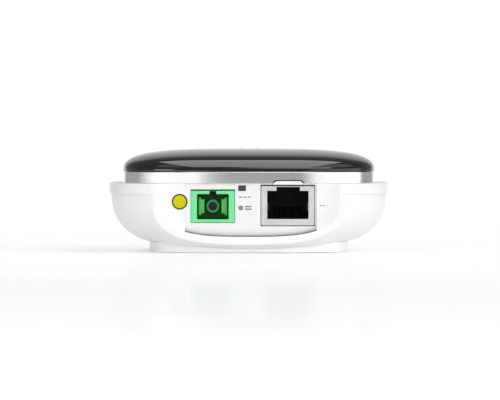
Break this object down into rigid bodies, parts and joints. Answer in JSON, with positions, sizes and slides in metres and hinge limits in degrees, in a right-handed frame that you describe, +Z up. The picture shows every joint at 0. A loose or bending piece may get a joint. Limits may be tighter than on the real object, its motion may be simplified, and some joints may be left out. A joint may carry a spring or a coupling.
{
  "type": "optical network terminal",
  "caption": "Small rounded-square fibre terminal: white bowl base, bright trim ring and glossy black cover, with a fibre socket, network jack and reset hole on one flat face.",
  "frame": {"origin": "centre of the case's box, on the plane of the rubber feet", "axes": "+Z up, -Y out of the port face, +X to the right seen from the ports"},
  "size_m": [0.082, 0.079, 0.0303],
  "materials": {
    "white_shell": "satin white",
    "white_plinth": "satin white",
    "white_panel": "fine satin white",
    "rubber": "matte",
    "screw_steel": "plated",
    "bright_trim": "satin bright",
    "black_gloss": "high gloss",
    "board": "solder mask",
    "chip": "moulded",
    "pad": "soft",
    "spreader": "anodised",
    "ferrite": "matte",
    "can": "plain",
    "led": "gloss",
    "clear": "clear",
    "grey_plastic": "matte",
    "green_plastic": "moulded",
    "green_latch": "moulded",
    "ceramic": "polished",
    "gold_metal": "plated",
    "shell_steel": "tinned",
    "black_plastic": "matte"
  },
  "bodies": {
    "case": {"base_shell": "white_shell", "base_plate": "white_plinth", "rubber_feet": "rubber", "base_screws": "screw_steel", "port_panel": "white_panel", "trim_ring": "bright_trim", "top_cover": "black_gloss", "circuit_board": "board", "board_screws": "screw_steel", "main_processor": "chip", "thermal_pad": "pad", "heat_spreader": "spreader", "memory_chip": "chip", "flash_chip": "chip", "power_inductors": "ferrite", "capacitors": "can", "voltage_regulator": "chip", "ethernet_transformer": "chip", "crystal": "can", "led_chips": "led", "light_pipe": "clear", "reset_switch": "grey_plastic", "fibre_adapter_housing": "green_plastic", "fibre_latch_insert": "green_latch", "alignment_sleeve": "ceramic", "ferrule_stub": "ceramic", "optical_module": "gold_metal", "laser_can": "gold_metal", "detector_can": "can", "optical_shield": "can", "ethernet_shell": "shell_steel", "ethernet_housing": "black_plastic", "ethernet_contacts": "gold_metal", "power_inlet_shell": "shell_steel", "power_inlet_tongue": "black_plastic", "power_inlet_contacts": "gold_metal"},
    "reset": {"reset_button": "grey_plastic"}
  },
  "joints": [
    {"name": "reset_press", "type": "slide", "parent": "case", "child": "reset", "axis": [0, 1, 0], "range_m": [0, 0.0003], "stiffness_N_per_m": 2000}
  ]
}
